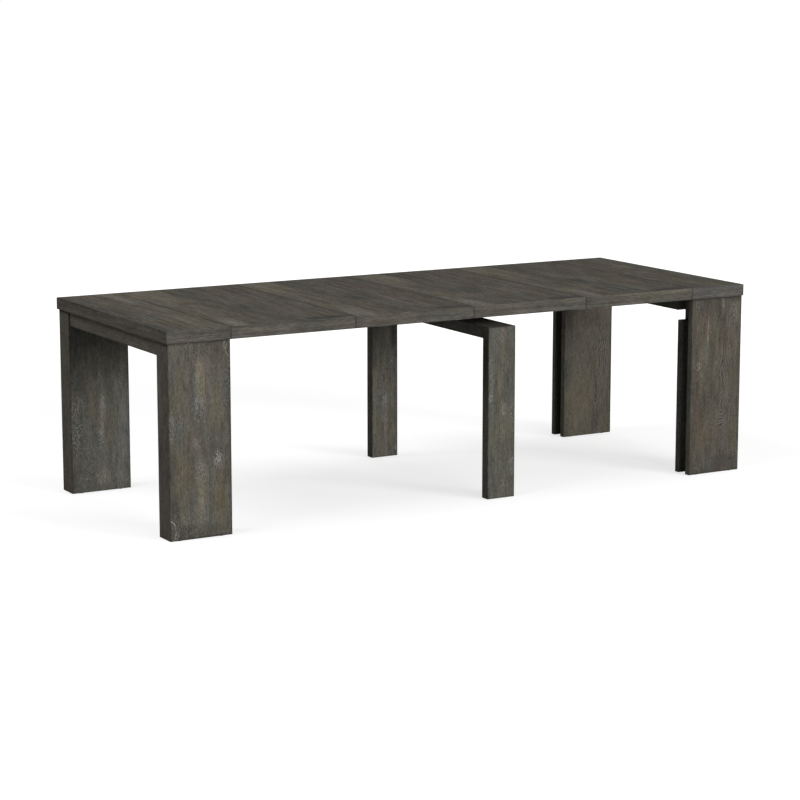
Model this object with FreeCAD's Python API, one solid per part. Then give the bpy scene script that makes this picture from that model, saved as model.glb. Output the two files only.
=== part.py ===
import FreeCAD, Part
import os

# The extending dining table, in millimetres.
# X runs along the length (left to right), Y from front to back, Z up from the floor.

# Top
top_length = 2540.0
top_width = 1016.0
table_height = 762.0
top_thickness = 45.0
end_length = 254.0
leaf_count = 4
seam_gap = 0.6
top_ease = 1.0

# End legs, each a box of three boards that is open towards the middle of the table
leg_width = 246.0
leg_thickness = 94.0
leg_board = 25.0
leg_ease = 1.2
leg_side_inset = 6.0
left_leg_setback = 1.0
right_leg_setback = 5.5
notch_depth = 36.0
glide_height = 2.0
glide_radius = 9.0

# Rails between the end legs
rail_height = 54.5
inner_rail_thickness = 36.0
apron_thickness = 25.0
apron_recess = 6.0

# Telescopic slides
stage_count = 7
slide_length = 430.0
slide_height = 31.7
slide_body = 15.4
slide_pitch = 16.0
slide_inner_y = 128.0
slide_clearance = 0.3
slide_end_gap = 8.0
tongue_neck = 5.0
tongue_head = 12.0
tongue_head_depth = 3.5
groove_lip = 2.5
bearer_thickness = 11.0
bearer_end_gap = 20.0

# Middle frame
middle_leg_width = 121.0
middle_leg_thickness = 42.0
middle_leg_x = 85.0
middle_side_inset = 32.0
crossbar_height = 45.0
crossbar_clearance = 1.0
seat_height = 4.3
seat_base = 2.5
seat_width = 60.0
seat_margin = 10.0
dowel_radius = 5.0
dowel_length = 50.0
dowel_spacing = 60.0

# Angle brackets and their screws
bracket_length = 60.0
bracket_flange = 40.0
bracket_thickness = 3.0
screw_radius = 2.0
screw_length = 18.0
screw_head_radius = 4.0
screw_head_height = 2.4
screw_spacing = 36.0
fit = 0.05

# Derived positions
half_length = top_length / 2
half_width = top_width / 2
underside = table_height - top_thickness
left_seam = -half_length + end_length
right_seam = half_length - end_length
leaf_length = (right_seam - left_seam) / leaf_count
leg_outer_y = half_width - leg_side_inset
leg_inner_y = leg_outer_y - leg_thickness
left_leg_x1 = left_seam - left_leg_setback
left_leg_x0 = left_leg_x1 - leg_width
right_leg_x0 = right_seam + right_leg_setback
right_leg_x1 = right_leg_x0 + leg_width
rail_bottom = underside - rail_height
slide_top = underside - bearer_thickness - slide_clearance
slide_bottom = slide_top - slide_height
pack_outer_y = slide_inner_y + (stage_count - 1) * slide_pitch + slide_body
stage_0_x = left_leg_x0 + apron_recess + apron_thickness + slide_end_gap + slide_length / 2
stage_step = -2 * stage_0_x / (stage_count - 1)
crossbar_top = slide_bottom - seat_height
crossbar_bottom = crossbar_top - crossbar_height
notch_bottom = crossbar_bottom - crossbar_clearance
middle_outer_y = half_width - middle_side_inset
middle_inner_y = middle_outer_y - middle_leg_thickness
middle_x1 = middle_leg_x + middle_leg_width
middle_stage = (stage_count - 1) // 2


def box(x0, x1, y0, y1, z0, z1):
    corner = FreeCAD.Vector(x0, y0, z0)
    return Part.makeBox(x1 - x0, y1 - y0, z1 - z0, corner)


def cylinder(radius, length, x, y, z, direction):
    start = FreeCAD.Vector(x, y, z)
    return Part.makeCylinder(radius, length, start, FreeCAD.Vector(direction))


def upright(points, z0, z1):
    """A prism on an outline in X and Y, from z0 up to z1."""
    corners = [FreeCAD.Vector(x, y, z0) for x, y in points]
    face = Part.Face(Part.makePolygon(corners + corners[:1]))
    return face.extrude(FreeCAD.Vector(0, 0, z1 - z0))


def lengthwise(points, x0, x1):
    """A prism on an outline in Y and Z, from x0 along to x1."""
    corners = [FreeCAD.Vector(x0, y, z) for y, z in points]
    face = Part.Face(Part.makePolygon(corners + corners[:1]))
    return face.extrude(FreeCAD.Vector(x1 - x0, 0, 0))


def front_of(shape):
    """The front twin of a piece that was drawn at the back."""
    return shape.mirror(FreeCAD.Vector(0, 0, 0), FreeCAD.Vector(0, 1, 0))


def left_of(shape, centre_x):
    """The same piece turned round left to right about centre_x."""
    return shape.mirror(FreeCAD.Vector(centre_x, 0, 0), FreeCAD.Vector(1, 0, 0))


def slab(x0, x1):
    """A piece of the top with its upper edges eased."""
    body = box(x0, x1, -half_width, half_width, underside, table_height)
    edges = []
    for edge in body.Edges:
        heights = [vertex.Z for vertex in edge.Vertexes]
        if min(heights) > table_height - 0.001:
            edges.append(edge)
    return body.makeChamfer(top_ease, edges)


def save(name, *shapes):
    shape = shapes[0]
    if len(shapes) > 1:
        shape = Part.makeCompound(list(shapes))
    shape.exportStep("parts/" + name + ".step")


def bracket_screw_places(centre_x):
    """Start and direction of each screw in the back bracket at centre_x."""
    places = []
    middle = bracket_thickness + (bracket_flange - bracket_thickness) / 2
    for offset in (-screw_spacing / 2, screw_spacing / 2):
        x = centre_x + offset
        places.append(((x, leg_inner_y - middle, underside - bracket_thickness), (0, 0, 1)))
        places.append(((x, leg_inner_y - bracket_thickness, underside - middle), (0, 1, 0)))
    return places


def drill(shape, centre_x, sides):
    """Cut the bracket screws' holes in a piece, at the back, the front or both."""
    for (x, y, z), direction in bracket_screw_places(centre_x):
        hole = cylinder(screw_radius + fit, screw_length + 1, x, y, z, direction)
        if "back" in sides:
            shape = shape.cut(hole)
        if "front" in sides:
            shape = shape.cut(front_of(hole))
    return shape


def leg_boards(x0, x1):
    """The back leg with its open side at x0: outer, inner and end board, mitred at the end."""
    y0 = leg_inner_y
    y1 = leg_outer_y
    board = leg_board
    ease = leg_ease
    outer = [(x0 + ease, y1), (x1 - ease, y1), (x1 - ease / 2, y1 - ease / 2)]
    outer += [(x1 - board, y1 - board), (x0, y1 - board), (x0, y1 - ease)]
    inner = [(x0 + ease, y0), (x1 - ease, y0), (x1 - ease / 2, y0 + ease / 2)]
    inner += [(x1 - board, y0 + board), (x0, y0 + board), (x0, y0 + ease)]
    end = [(x1, y0 + ease), (x1, y1 - ease), (x1 - ease / 2, y1 - ease / 2)]
    end += [(x1 - board, y1 - board), (x1 - board, y0 + board), (x1 - ease / 2, y0 + ease / 2)]
    boards = []
    for outline in (outer, inner, end):
        boards.append(upright(outline, glide_height, underside))
    return boards


def leg_glides(x0, x1):
    """Glides under the outer and inner boards of the back leg."""
    glides = []
    for x in (x0 + leg_width / 6, x1 - leg_width / 6):
        for y in (leg_inner_y + leg_board / 2, leg_outer_y - leg_board / 2):
            glides.append(cylinder(glide_radius, glide_height, x, y, 0, (0, 0, 1)))
    return glides


def bracket(centre_x):
    """The back angle bracket, under the top and on the inner face of the leg."""
    x0 = centre_x - bracket_length / 2
    x1 = centre_x + bracket_length / 2
    y0 = leg_inner_y
    z1 = underside
    outline = [(y0, z1), (y0 - bracket_flange, z1), (y0 - bracket_flange, z1 - bracket_thickness)]
    outline += [(y0 - bracket_thickness, z1 - bracket_thickness)]
    outline += [(y0 - bracket_thickness, z1 - bracket_flange), (y0, z1 - bracket_flange)]
    body = lengthwise(outline, x0, x1)
    for (x, y, z), direction in bracket_screw_places(centre_x):
        body = body.cut(cylinder(screw_radius + fit, bracket_thickness, x, y, z, direction))
    return body


def bracket_screws(centre_x):
    """Screws of the back bracket, each with a flat head on the flange."""
    screws = []
    for (x, y, z), direction in bracket_screw_places(centre_x):
        shank = cylinder(screw_radius, screw_length, x, y, z, direction)
        back = FreeCAD.Vector(direction) * -screw_head_height
        head = cylinder(screw_head_radius, screw_head_height, x + back.x, y + back.y, z + back.z, direction)
        screws.append(shank.fuse(head).removeSplitter())
    return screws


def end_frame(name, x0, x1, open_x, seam_x, outer_x):
    """One fixed end of the table: top, legs, rails, bearers, brackets and glides.

    The leg box is drawn with its open side at the left, and turned round for the left end."""
    centre_x = (x0 + x1) / 2
    turned = open_x == x1
    boards = leg_boards(x0, x1)
    if turned:
        boards = [left_of(board, centre_x) for board in boards]
    outer, inner, end = boards

    notch_x0 = x0 - 1
    notch_x1 = x0 + notch_depth
    if turned:
        notch_x0 = x1 - notch_depth
        notch_x1 = x1 + 1
    notch = box(notch_x0, notch_x1, leg_inner_y - 1, leg_inner_y + leg_board + 1, notch_bottom, underside + 1)
    inner = inner.cut(notch)
    inner = drill(inner, centre_x, ("back",))
    for side in ("back", "front"):
        for board, kind in ((outer, "outer_board"), (inner, "inner_board"), (end, "end_board")):
            piece = board if side == "back" else front_of(board)
            save(name + "_" + side + "_leg_" + kind, piece)

    top = slab(min(seam_x, outer_x), max(seam_x, outer_x))
    save(name + "_end_top", drill(top, centre_x, ("back", "front")))

    # The inner rail is housed over the slides, with a strip left below them
    rail_x0 = x0
    apron_x0 = x1 - apron_recess - apron_thickness
    if turned:
        rail_x0 = x1 - inner_rail_thickness
        apron_x0 = x0 + apron_recess
    rail_x1 = rail_x0 + inner_rail_thickness
    rail = box(rail_x0, rail_x1, -leg_inner_y, leg_inner_y, rail_bottom, underside)
    housing = box(rail_x0 - 1, rail_x1 + 1, slide_inner_y - 3, pack_outer_y + 3, slide_bottom, underside + 1)
    save(name + "_inner_rail", rail.cut(housing).cut(front_of(housing)))
    apron_x1 = apron_x0 + apron_thickness
    save(name + "_apron", box(apron_x0, apron_x1, -leg_inner_y, leg_inner_y, rail_bottom, underside))

    # Bearers fill the space between the fixed slide profiles and the top
    bearer_x = [seam_x, apron_x0 + apron_thickness if turned else apron_x0]
    bearer_x0 = min(bearer_x) + slide_end_gap
    bearer_x1 = max(bearer_x) - slide_end_gap
    bearer = box(bearer_x0, bearer_x1, slide_inner_y, pack_outer_y, slide_top, underside)
    save(name + "_back_bearer", bearer)
    save(name + "_front_bearer", front_of(bearer))

    glides = leg_glides(x0, x1)
    save(name + "_leg_glides", *(glides + [front_of(glide) for glide in glides]))
    angle = bracket(centre_x)
    save(name + "_brackets", angle, front_of(angle))
    screws = bracket_screws(centre_x)
    save(name + "_bracket_screws", *(screws + [front_of(screw) for screw in screws]))


def slide_profile(stage):
    """The back profile of one stage: a bar with a tongue outside and a groove inside."""
    x0 = stage_0_x + stage * stage_step - slide_length / 2
    x1 = x0 + slide_length
    y0 = slide_inner_y + stage * slide_pitch
    y1 = y0 + slide_body
    middle_z = (slide_bottom + slide_top) / 2
    profile = box(x0, x1, y0, y1, slide_bottom, slide_top)
    if stage > 0:
        neck = tongue_neck / 2 + slide_clearance
        head = tongue_head / 2 + slide_clearance
        depth = groove_lip + tongue_head_depth + 2 * slide_clearance
        opening = box(x0 - 1, x1 + 1, y0 - 1, y0 + groove_lip, middle_z - neck, middle_z + neck)
        cavity = box(x0 - 1, x1 + 1, y0 + groove_lip, y0 + depth, middle_z - head, middle_z + head)
        profile = profile.cut(opening.fuse(cavity))
    if stage < stage_count - 1:
        neck = tongue_neck / 2
        head = tongue_head / 2
        head_y = y0 + slide_pitch + groove_lip + slide_clearance
        stem = box(x0, x1, y1, head_y, middle_z - neck, middle_z + neck)
        bar = box(x0, x1, head_y, head_y + tongue_head_depth, middle_z - head, middle_z + head)
        profile = profile.fuse(stem).fuse(bar)
    return profile.removeSplitter()


def middle_frame():
    """The middle legs and crossbar, with the seats for the middle slide profiles."""
    centre_x = (middle_leg_x + middle_x1) / 2
    middle_z = (crossbar_bottom + crossbar_top) / 2
    leg = box(middle_leg_x, middle_x1, middle_inner_y, middle_outer_y, glide_height, crossbar_top)
    corners = [edge for edge in leg.Edges if abs(edge.Vertexes[0].Z - edge.Vertexes[1].Z) > 1]
    leg = leg.makeChamfer(leg_ease, corners)
    crossbar = box(middle_leg_x, middle_x1, -middle_inner_y, middle_inner_y, crossbar_bottom, crossbar_top)
    dowels = []
    for offset in (-dowel_spacing / 2, dowel_spacing / 2):
        x = centre_x + offset
        y = middle_inner_y - dowel_length / 2
        dowel = cylinder(dowel_radius, dowel_length, x, y, middle_z, (0, 1, 0))
        hole = cylinder(dowel_radius + fit, dowel_length, x, y, middle_z, (0, 1, 0))
        leg = leg.cut(hole)
        crossbar = crossbar.cut(hole).cut(front_of(hole))
        dowels += [dowel, front_of(dowel)]
    save("middle_back_leg", leg)
    save("middle_front_leg", front_of(leg))
    save("middle_crossbar", crossbar)
    save("middle_dowels", *dowels)

    # Each seat is a plate with a raised rib that carries only the middle profile
    rib_y0 = slide_inner_y + middle_stage * slide_pitch
    rib_y1 = rib_y0 + slide_body
    base_y0 = (rib_y0 + rib_y1 - seat_width) / 2
    seat_x0 = middle_leg_x + seat_margin
    seat_x1 = middle_x1 - seat_margin
    base = box(seat_x0, seat_x1, base_y0, base_y0 + seat_width, crossbar_top, crossbar_top + seat_base)
    rib = box(seat_x0, seat_x1, rib_y0, rib_y1, crossbar_top + seat_base, slide_bottom)
    seat = base.fuse(rib).removeSplitter()
    save("middle_slide_seats", seat, front_of(seat))

    glides = []
    for x in (middle_leg_x + middle_leg_width / 5, middle_x1 - middle_leg_width / 5):
        y = (middle_inner_y + middle_outer_y) / 2
        glides.append(cylinder(glide_radius, glide_height, x, y, 0, (0, 0, 1)))
    save("middle_leg_glides", *(glides + [front_of(glide) for glide in glides]))


def leaves():
    """The loose leaves, each with a bearer over each pack of slides."""
    for number in range(leaf_count):
        x0 = left_seam + number * leaf_length
        x1 = x0 + leaf_length
        name = "leaf_" + str(number + 1)
        save(name + "_panel", slab(x0 + seam_gap / 2, x1 - seam_gap / 2))
        bearer = box(x0 + bearer_end_gap, x1 - bearer_end_gap, slide_inner_y, pack_outer_y,
                     underside - bearer_thickness, underside)
        save(name + "_back_bearer", bearer)
        save(name + "_front_bearer", front_of(bearer))


os.makedirs("parts", exist_ok=True)
end_frame("left", left_leg_x0, left_leg_x1, left_leg_x1, left_seam - seam_gap / 2, -half_length)
end_frame("right", right_leg_x0, right_leg_x1, right_leg_x0, right_seam + seam_gap / 2, half_length)
middle_frame()
leaves()
for stage in range(stage_count):
    profile = slide_profile(stage)
    save("slide_" + str(stage) + "_back", profile)
    save("slide_" + str(stage) + "_front", front_of(profile))
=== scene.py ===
import math
import random
from collections import namedtuple

import bpy
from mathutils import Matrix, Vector


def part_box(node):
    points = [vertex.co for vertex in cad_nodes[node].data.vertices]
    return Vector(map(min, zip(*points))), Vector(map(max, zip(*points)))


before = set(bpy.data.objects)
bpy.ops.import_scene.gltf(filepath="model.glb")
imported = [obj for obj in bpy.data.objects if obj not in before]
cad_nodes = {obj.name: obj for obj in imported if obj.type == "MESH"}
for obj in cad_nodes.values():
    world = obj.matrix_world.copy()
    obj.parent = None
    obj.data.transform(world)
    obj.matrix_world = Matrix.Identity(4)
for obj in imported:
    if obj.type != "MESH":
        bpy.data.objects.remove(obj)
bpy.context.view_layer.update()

# Camera, in metres and degrees. The focal length is for a sensor 36 mm wide.
camera_place = Vector((-4.7845, -8.2900, 2.0701))
camera_yaw = -29.832
camera_pitch = -10.341
sensor_width = 36.0
focal_length = 110.17

# Studio, in metres. The floor's own glow is floor_glow up to floor_near and rises to white at floor_far.
floor_size = 300.0
floor_near = 2.2
floor_far = 5.0
floor_glow = 0.70
floor_paint = (0.45, 0.45, 0.45, 1.0)
white = (1.0, 1.0, 1.0, 1.0)
ambient_level = 0.02

# Soft lights: (name, degrees round from +X, degrees up, metres away, width, height, watts)
aim_height = 0.5
lights = (("key", -62.0, 13.5, 14.0, 5.0, 3.0, 1400.0),
          ("front", -88.0, 22.0, 14.0, 5.0, 4.0, 480.0),
          ("upper_left", 180.0, 52.0, 8.2, 6.0, 5.0, 360.0),
          ("overhead", 0.0, 65.0, 7.5, 8.0, 5.0, 165.0),
          ("rear", 75.0, 4.0, 14.0, 5.0, 2.0, 500.0),
          ("right", 10.0, 3.0, 14.0, 5.0, 1.5, 350.0),
          ("left", 180.0, 5.0, 14.0, 5.0, 2.0, 60.0))

# Oak colours, linear
oak_base = (0.112, 0.103, 0.086)
oak_cool = (0.960, 0.985, 1.035, 1.0)
oak_plain = (0.985, 0.985, 0.985, 1.0)
oak_warm = (1.008, 0.985, 0.925, 1.0)
oak_green = (0.940, 0.985, 0.972, 1.0)
oak_pink = (1.028, 0.985, 0.997, 1.0)
pore_colour = (0.030, 0.027, 0.023, 1.0)
lime_colour = (0.34, 0.335, 0.31, 1.0)

# Changes of red and blue for one unit of warmth and of blush
warmth_red = 0.03
warmth_blue = -0.10
blush_red = 0.05
blush_blue = 0.02

# Where the oak's tints change: (offset of the noise, cells per metre, low tint, high tint)
oak_tints = (((3.1, 7.7, 1.9), (20.0, 6.0, 20.0), oak_cool, oak_warm),
             ((8.3, 1.7, 5.9), (26.0, 8.0, 26.0), oak_green, oak_pink))

# The oak's shade, from broad clouds to single fibres: (name, cells per metre, detail, roughness, amount)
oak_layers = (("clouds", (22.0, 5.0, 22.0), 3.0, 0.60, 0.6),
              ("blotches", (62.0, 15.0, 62.0), 2.0, 0.50, 0.5),
              ("streaks", (160.0, 9.0, 160.0), 4.0, 0.62, 0.8),
              ("dashes", (360.0, 80.0, 360.0), 3.0, 0.65, 1.6),
              ("fibres", (1500.0, 50.0, 1500.0), 2.0, 0.50, 0.4))

# The mean level of that shade, the grain's sway in metres, and the strengths of pores and pale rings
oak_level = 1.03
grain_sway = 0.03
pore_strength = 0.45
pale_ring_strength = 0.5

# Roughness, and the relief of the brushed grain as shares of a bump
rough_start = 0.56
rough_spread = 0.18
fibre_height = 0.5
dash_height = 0.5
pore_depth = 0.8
oak_bump_distance = 0.0005
oak_bump_strength = 0.5

# Shifts of the noise from one piece to the next
board_shift = (0.71, 1.37, 0.29)
slab_shift = (0.9, 3.3, 0.0)

# Grime and painted shade beside the edges, and rubbed edges: their reach from the edge in metres, and their
# strength
grime_and_shade_near = 0.0010
grime_and_shade_far = 0.0050
grime_and_shade_strength = 0.45
wear_near = 0.0004
wear_far = 0.0018
wear_strength = 0.30

# How far stain columns wander across a board and a slab, as shares of the face, and how much they fade
board_wander = 0.12
slab_wander = 0.10
column_fade = 0.6

# How uneven the outlines of patches, curls and rings are, and the streaks along the top's pieces
patch_raggedness = 1.6
curl_waver = 0.25
ring_wobble = 3.5
slab_streaks = 1.1

# Scale of the grain along the top's front and back edges. Below 1 it is drawn out longer.
edge_grain_scale = 0.45

# Painted shade where a leg meets the top, under its overhang: its reach down from the joint in metres, and
# its strength
joint_near = 0.002
joint_far = 0.012
joint_shade = 0.66

# Painted shade in a seam on the top's front and back edges, in the same way
seam_near = 0.0005
seam_far = 0.0035
seam_shade = 0.30

# Stain of the top's two ends: (tone, warmth, blush)
end_stain = (0.87, 0.0, 0.6)

# Rails and narrow boards: their tones, and the changes of their red and blue
end_board_tone = 0.92
apron_tone = 1.03
rail_tone = 0.78
crossbar_tone = 0.98
crossbar_warmth = -0.5
side_cast = (1.015, 1.03)
rail_cast = (0.960, 1.05)

# Other materials, linear: the two colours that each varies between
bearer_colours = ((0.19, 0.12, 0.07, 1.0), (0.32, 0.22, 0.13, 1.0))
aluminium_colours = ((0.18, 0.185, 0.19, 1.0), (0.25, 0.255, 0.26, 1.0))
zinc_colours = ((0.19, 0.19, 0.195, 1.0), (0.28, 0.28, 0.275, 1.0))
nylon_colour = (0.022, 0.022, 0.023, 1.0)
nylon_scuff = (0.07, 0.07, 0.07, 1.0)
beech_colours = ((0.40, 0.27, 0.16, 1.0), (0.55, 0.40, 0.25, 1.0))
beech_ray = (0.22, 0.13, 0.07, 1.0)

# How one oak face is coloured: its stain and finish, with painted shade and painted light on some faces.
# Places and sizes are shares of the face.
# columns: (place across, tone, warmth)
# patches: (place across, place down, half width, half height, tone, warmth, blush)
# lime, curls: (place across, place down, half width, half height, amount)
# haze: how much lime is spread thinly over the face
# rings: (place across, place down, half width, half height, amount, ring width, ring length, lean)
# The ring width and length are in metres. A lean of 0 gives even arches, and over 1 it gives slanted lines.
# cast: a change of the red and the blue of the whole face
# edge: (tone, warmth, blush) of the board's narrow faces
# rim: patches of the narrow faces
# grain: how strongly the grain shows
Look = namedtuple("Look", "columns patches lime haze curls rings cast edge rim grain",
                  defaults=((), (), 0.0, (), (), (1.0, 1.0), (0.92, 0.0, 0.2), (), 1.0))


class Graph:
    """Adds nodes to one node tree. A socket takes a plain value or another node's output."""

    def __init__(self, tree):
        self.tree = tree

    def put(self, socket, value):
        if isinstance(value, bpy.types.NodeSocket):
            self.tree.links.new(value, socket)
        else:
            socket.default_value = value

    def add(self, kind, inputs=None, **settings):
        node = self.tree.nodes.new(kind)
        for name, value in settings.items():
            setattr(node, name, value)
        for key, value in (inputs or {}).items():
            self.put(node.inputs[key], value)
        return node

    def math(self, operation, first, second=0.0):
        node = self.add("ShaderNodeMath", {0: first, 1: second}, operation=operation)
        return node.outputs[0]

    def vector(self, operation, first, second):
        node = self.add("ShaderNodeVectorMath", {0: first, 1: second}, operation=operation)
        return node.outputs[0]

    def split(self, vector):
        return self.add("ShaderNodeSeparateXYZ", {0: vector}).outputs

    def join(self, x, y, z):
        return self.add("ShaderNodeCombineXYZ", {0: x, 1: y, 2: z}).outputs[0]

    def noise(self, place, stretch, detail=2.0, roughness=0.5, distortion=0.0):
        """Noise from 0 to 1 with its own number of cells per metre along each axis of place."""
        values = {"Vector": self.vector("MULTIPLY", place, stretch), "Scale": 1.0, "Detail": detail}
        values.update({"Roughness": roughness, "Distortion": distortion})
        return self.add("ShaderNodeTexNoise", values).outputs[0]

    def ripple(self, place, stretch, amount, detail=2.0, roughness=0.5):
        """Noise about 0, from half of amount below it to half of amount above it."""
        centred = self.math("SUBTRACT", self.noise(place, stretch, detail, roughness), 0.5)
        return self.math("MULTIPLY", centred, amount)

    def scaled(self, value, amount, start):
        """A value times amount, plus start."""
        return self.math("ADD", self.math("MULTIPLY", value, amount), start)

    def step(self, value, low, high, start=0.0, end=1.0):
        """A smooth step: start below low, end above high."""
        values = {"Value": value, "From Min": low, "From Max": high, "To Min": start, "To Max": end}
        return self.add("ShaderNodeMapRange", values, interpolation_type="SMOOTHSTEP").outputs[0]

    def ramp(self, value, stops):
        """Colours along a value from 0 to 1, as (position, colour) stops."""
        node = self.add("ShaderNodeValToRGB", {0: value})
        node.color_ramp.interpolation = "EASE"
        elements = node.color_ramp.elements
        while len(elements) < len(stops):
            elements.new(0.5)
        for element, (position, colour) in zip(elements, stops):
            element.position = position
            element.color = colour
        return node.outputs[0]

    def vary(self, value, colours):
        """A soft change between two colours, about the middle of a value from 0 to 1."""
        dark, pale = colours
        return self.ramp(value, ((0.3, dark), (0.7, pale)))

    def blend(self, factor, first, second, kind="MIX"):
        values = {0: factor, 6: first, 7: second}
        return self.add("ShaderNodeMix", values, data_type="RGBA", blend_type=kind).outputs[2]

    def shade(self, colour, level):
        """A colour times a grey level."""
        return self.blend(1.0, colour, self.join(level, level, level), "MULTIPLY")


def new_material(name):
    material = bpy.data.materials.new(name)
    material.use_nodes = True
    material.node_tree.nodes.clear()
    return material, Graph(material.node_tree)


def surface(graph, inputs, bump_height=None, bump_distance=0.0, bump_strength=1.0):
    """Ends a material in a Principled shader, with a bump if a height is given."""
    shader = graph.add("ShaderNodeBsdfPrincipled", inputs)
    if bump_height is not None:
        values = {"Height": bump_height, "Distance": bump_distance, "Strength": bump_strength}
        bump = graph.add("ShaderNodeBump", values)
        graph.put(shader.inputs["Normal"], bump.outputs[0])
    output = graph.add("ShaderNodeOutputMaterial")
    graph.put(output.inputs["Surface"], shader.outputs[0])


def dress(names, material):
    """Gives a material to CAD nodes by name."""
    for name in names:
        mesh = cad_nodes[name].data
        mesh.materials.clear()
        mesh.materials.append(material)


def make_oak_group():
    """Brushed and limed oak. Place is (across, along, depth) of the grain in metres, Base the stain."""
    group = bpy.data.node_groups.new("oak_finish", "ShaderNodeTree")
    sockets = group.interface
    sockets.new_socket("Place", in_out="INPUT", socket_type="NodeSocketVector")
    sockets.new_socket("Base", in_out="INPUT", socket_type="NodeSocketColor")
    for name in ("Grain", "Lime", "Rings", "Edge"):
        sockets.new_socket(name, in_out="INPUT", socket_type="NodeSocketFloat")
    sockets.new_socket("Color", in_out="OUTPUT", socket_type="NodeSocketColor")
    for name in ("Roughness", "Height"):
        sockets.new_socket(name, in_out="OUTPUT", socket_type="NodeSocketFloat")
    graph = Graph(group)
    inputs = graph.add("NodeGroupInput").outputs
    outputs = graph.add("NodeGroupOutput").inputs

    # The grain wanders a little from side to side
    sway = graph.ripple(inputs["Place"], (4.0, 3.0, 4.0), grain_sway)
    place = graph.vector("ADD", inputs["Place"], graph.join(sway, 0.0, 0.0))

    # Stain taken up unevenly, in hue and in shade
    colour = inputs["Base"]
    for offset, cells, low_tint, high_tint in oak_tints:
        field = graph.noise(graph.vector("ADD", place, offset), cells, 4.0, 0.55)
        tint = graph.ramp(field, ((0.34, low_tint), (0.50, oak_plain), (0.66, high_tint)))
        colour = graph.blend(1.0, colour, tint, "MULTIPLY")
    layers = {}
    level = 0.0
    for name, cells, detail, roughness, amount in oak_layers:
        layers[name] = graph.noise(place, cells, detail, roughness)
        change = graph.math("MULTIPLY", graph.math("SUBTRACT", layers[name], 0.5), amount)
        level = graph.math("ADD", change, level)
    colour = graph.shade(colour, graph.scaled(level, inputs["Grain"], oak_level))

    # Growth rings, dark above 0 and pale below it
    dark_ring = graph.math("MAXIMUM", inputs["Rings"], 0.0)
    pale_ring = graph.math("MULTIPLY", graph.math("MINIMUM", inputs["Rings"], 0.0), -pale_ring_strength)
    colour = graph.blend(dark_ring, colour, pore_colour)
    colour = graph.blend(pale_ring, colour, lime_colour)

    # Open pores: dark dashes, and pale where lime fills them
    pores = graph.step(graph.noise(place, (1300.0, 55.0, 1300.0), 1.0), 0.58, 0.68)
    colour = graph.blend(graph.math("MULTIPLY", pores, pore_strength), colour, pore_colour)
    fleck = graph.step(graph.noise(place, (400.0, 115.0, 400.0), 2.0, 0.55, 0.2), 0.49, 0.67)
    broken = graph.math("MINIMUM", inputs["Lime"], 1.0)
    solid = graph.math("MAXIMUM", graph.math("SUBTRACT", inputs["Lime"], 1.0), 0.0)
    colour = graph.blend(graph.scaled(fleck, broken, solid), colour, lime_colour)

    # Grime and painted shade beside the edges, and the edge itself rubbed paler here and there
    rub = graph.step(graph.noise(place, (30.0, 30.0, 30.0), 4.0, 0.6), 0.50, 0.66)
    grime_and_shade = graph.step(inputs["Edge"], grime_and_shade_near, grime_and_shade_far, grime_and_shade_strength, 0.0)
    colour = graph.blend(grime_and_shade, colour, pore_colour)
    wear = graph.step(inputs["Edge"], wear_near, wear_far, wear_strength, 0.0)
    colour = graph.blend(graph.math("MULTIPLY", wear, rub), colour, lime_colour)

    # Brushing leaves the fibres proud and the pores open
    height = graph.math("MULTIPLY", layers["fibres"], fibre_height)
    height = graph.scaled(pores, -pore_depth, height)
    height = graph.scaled(layers["dashes"], dash_height, height)
    graph.put(outputs["Color"], colour)
    graph.put(outputs["Roughness"], graph.scaled(layers["streaks"], rough_spread, rough_start))
    graph.put(outputs["Height"], height)
    return group


oak_group = make_oak_group()


def stain(tone, warmth, blush=0.0, cast=(1.0, 1.0)):
    """The oak's base colour, lighter by tone, yellower by warmth and pinker by blush.

    A warmth or blush below 0 turns it the other way."""
    red, green, blue = oak_base
    red *= cast[0] * (1.0 + warmth_red * warmth + blush_red * blush)
    blue *= cast[1] * (1.0 + warmth_blue * warmth + blush_blue * blush)
    return (red * tone, green * tone, blue * tone, 1.0)


def reach(graph, share, drop, spot):
    """How far a point is from the middle of an oval spot, as a share of its half width and height."""
    across, down, wide, high = spot[:4]
    scaled = graph.join(graph.math("DIVIDE", share, wide), graph.math("DIVIDE", drop, high), 0.0)
    centre = (across / wide, down / high, 0.0)
    return graph.add("ShaderNodeVectorMath", {0: scaled, 1: centre}, operation="DISTANCE").outputs["Value"]


def spread(graph, share, drop, spots):
    """A mask from oval spots, each (place across, place down, half width, half height, amount)."""
    mask = 0.0
    for spot in spots:
        away = reach(graph, share, drop, spot)
        mask = graph.math("MAXIMUM", graph.step(away, 0.2, 1.2, spot[4], 0.0), mask)
    return mask


def paint_patches(graph, base, share, drop, place, patches, cast):
    """Lays ragged oval patches of stain over a base colour. Some patches paint shade, and a few paint
    light.
    """
    ragged = graph.ripple(place, (26.0, 7.0, 26.0), patch_raggedness, 3.0, 0.6)
    for patch in patches:
        away = graph.math("ADD", reach(graph, share, drop, patch), ragged)
        cover = graph.step(away, 0.3, 1.3, 1.0, 0.0)
        base = graph.blend(cover, base, stain(*patch[4:], cast=cast))
    return base


def curl(graph, share, drop, spots):
    """A mask from the outlines of oval spots, wavering and broken a little."""
    place = graph.join(share, graph.math("MULTIPLY", drop, 3.0), 0.0)
    waver = graph.ripple(place, (9.0, 9.0, 1.0), curl_waver, 1.0)
    broken = graph.step(graph.noise(place, (14.0, 14.0, 1.0), 1.0), 0.30, 0.55, 0.45, 1.0)
    mask = 0.0
    for spot in spots:
        away = graph.math("ADD", reach(graph, share, drop, spot), waver)
        line = graph.math("ABSOLUTE", graph.math("SUBTRACT", away, 1.0))
        mask = graph.math("MAXIMUM", graph.step(line, 0.01, 0.08, spot[4], 0.0), mask)
    return graph.math("MULTIPLY", mask, broken)


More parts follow.
